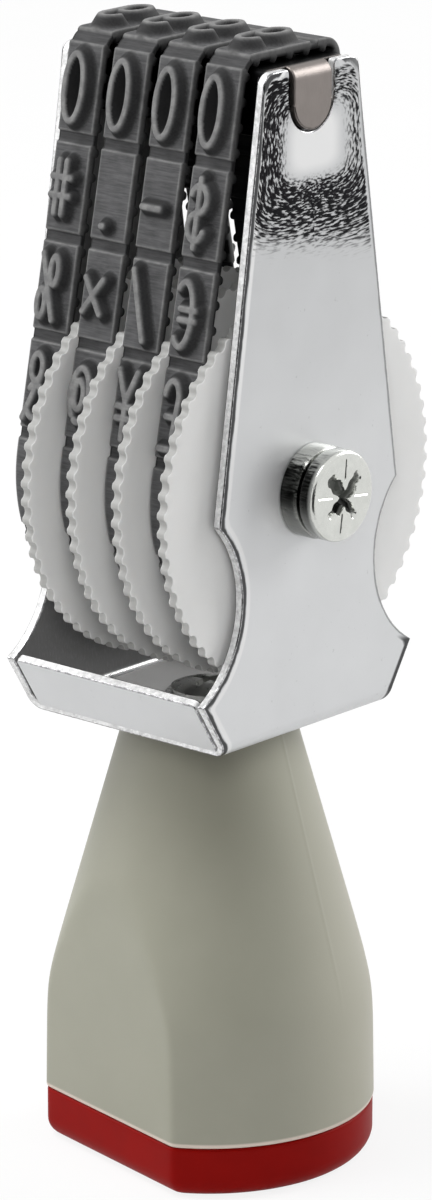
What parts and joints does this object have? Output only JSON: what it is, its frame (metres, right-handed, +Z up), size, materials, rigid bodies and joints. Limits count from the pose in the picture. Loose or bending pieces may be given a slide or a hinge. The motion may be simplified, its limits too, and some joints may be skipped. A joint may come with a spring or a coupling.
{
  "type": "band number stamp",
  "caption": "Hand number stamp standing on its handle: rubber type bands turned by serrated thumb wheels in a folded steel frame, on a tapered plastic grip with an end cap.",
  "frame": {"origin": "centre of the end cap's flat underside, on the handle's axis", "axes": "+Z up from the handle to the print face, X along the axle, -Y towards the front run of the bands"},
  "size_m": [0.0374, 0.0426, 0.1247],
  "materials": {
    "plated_steel": "bright plated",
    "bare_steel": "satin",
    "brass": "turned",
    "grip": "fine matt",
    "cap": "satin",
    "wheel": "satin",
    "rubber": "matt"
  },
  "bodies": {
    "stamp": {"frame": "plated_steel", "handle_body": "grip", "handle_cap": "cap", "handle_insert": "brass", "handle_screw": "plated_steel", "handle_washer": "plated_steel", "axle_tube": "plated_steel", "axle_screw_left": "plated_steel", "axle_screw_right": "plated_steel", "axle_collar_left": "plated_steel", "axle_collar_right": "plated_steel", "end_washer_left": "bare_steel", "end_washer_right": "bare_steel", "bridge": "bare_steel", "type_band_1": "rubber", "type_band_2": "rubber", "type_band_3": "rubber", "type_band_4": "rubber"},
    "wheel_1": {"thumb_wheel_1": "wheel"},
    "wheel_2": {"thumb_wheel_2": "wheel"},
    "wheel_3": {"thumb_wheel_3": "wheel"},
    "wheel_4": {"thumb_wheel_4": "wheel"}
  },
  "joints": [
    {"name": "wheel_1_turn", "type": "hinge", "parent": "stamp", "child": "wheel_1", "pos_m": [0, 0, 0.0766], "axis": [1, 0, 0], "continuous": true},
    {"name": "wheel_2_turn", "type": "hinge", "parent": "stamp", "child": "wheel_2", "pos_m": [0, 0, 0.0766], "axis": [1, 0, 0], "continuous": true},
    {"name": "wheel_3_turn", "type": "hinge", "parent": "stamp", "child": "wheel_3", "pos_m": [0, 0, 0.0766], "axis": [1, 0, 0], "continuous": true},
    {"name": "wheel_4_turn", "type": "hinge", "parent": "stamp", "child": "wheel_4", "pos_m": [0, 0, 0.0766], "axis": [1, 0, 0], "continuous": true}
  ]
}
